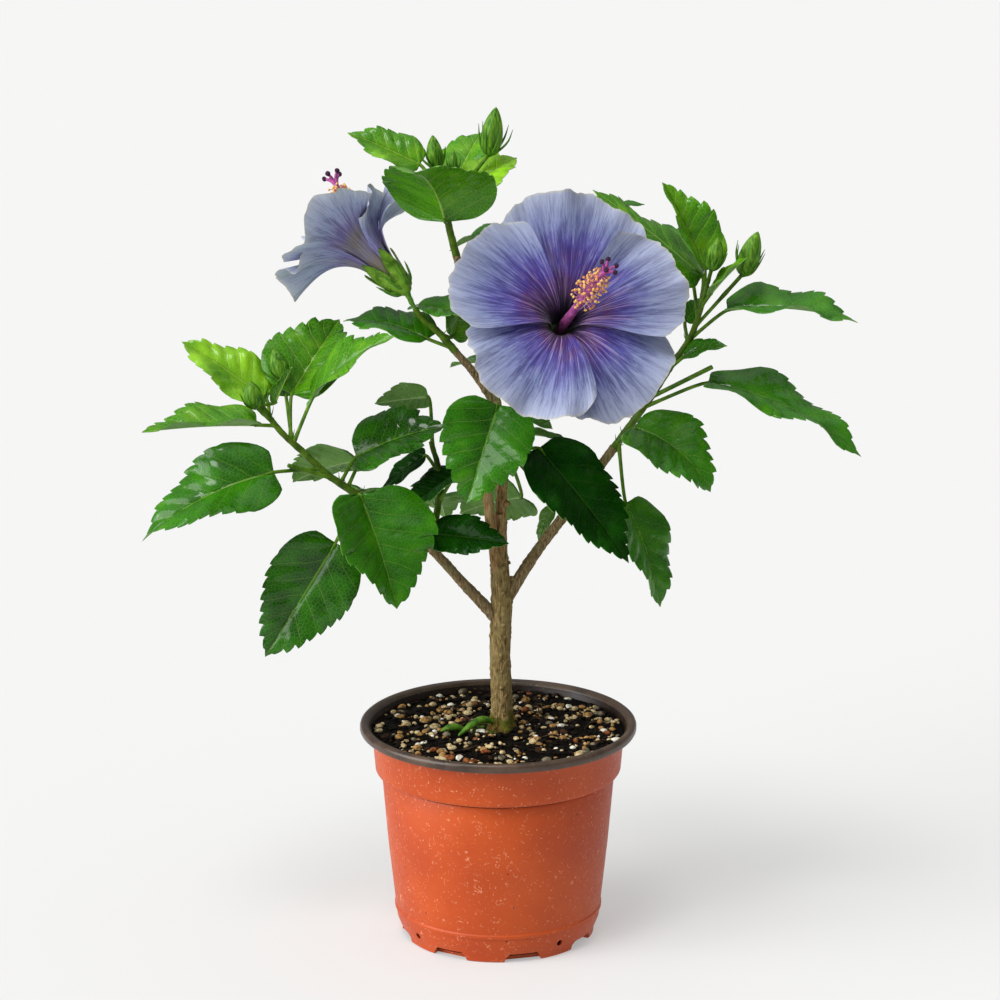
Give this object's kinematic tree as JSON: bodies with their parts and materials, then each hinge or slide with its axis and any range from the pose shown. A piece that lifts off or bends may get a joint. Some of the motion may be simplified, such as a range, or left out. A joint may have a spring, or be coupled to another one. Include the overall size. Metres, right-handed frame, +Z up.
{
  "type": "potted hibiscus shrub",
  "caption": "Young hibiscus shrub with open five-petalled blooms, buds and toothed leaves on a single woody stem, in a round nursery pot.",
  "frame": {"origin": "centre of the pot's flat underside, where the pot stands on the floor", "axes": "+Z up along the pot's axis and the stem; -Y toward the side that the large open bloom faces; +X to the right seen from -Y"},
  "size_m": [0.3792, 0.1863, 0.4553],
  "materials": {
    "pot_plastic": "thin moulded terracotta-coloured polypropylene with a dark brown lip and inside, satin and scuffed",
    "potting_mix": "dark peat and bark mix with pale perlite and fertiliser granules",
    "bark": "dull grey-tan bark with shallow fissures and leaf scars",
    "green_bark": "smooth greenish-brown young bark",
    "foliage": "glossy green blades with paler veins and matte pale undersides",
    "petals": "soft lavender-blue petals with darker radial veins, a maroon eye and a pale ruffled edge"
  },
  "bodies": {
    "root": {"pot": "pot_plastic", "potting_mix": "potting_mix", "trunk": "bark", "left_bough": "green_bark", "right_bough": "green_bark", "upper_left_bough": "green_bark", "top_bough": "green_bark", "left_foliage": "foliage", "right_foliage": "foliage", "top_foliage": "foliage", "upper_left_foliage": "foliage", "front_foliage": "foliage", "inner_left_foliage": "foliage", "back_foliage": "foliage", "front_bloom": "petals", "left_bloom": "petals"}
  },
  "joints": []
}
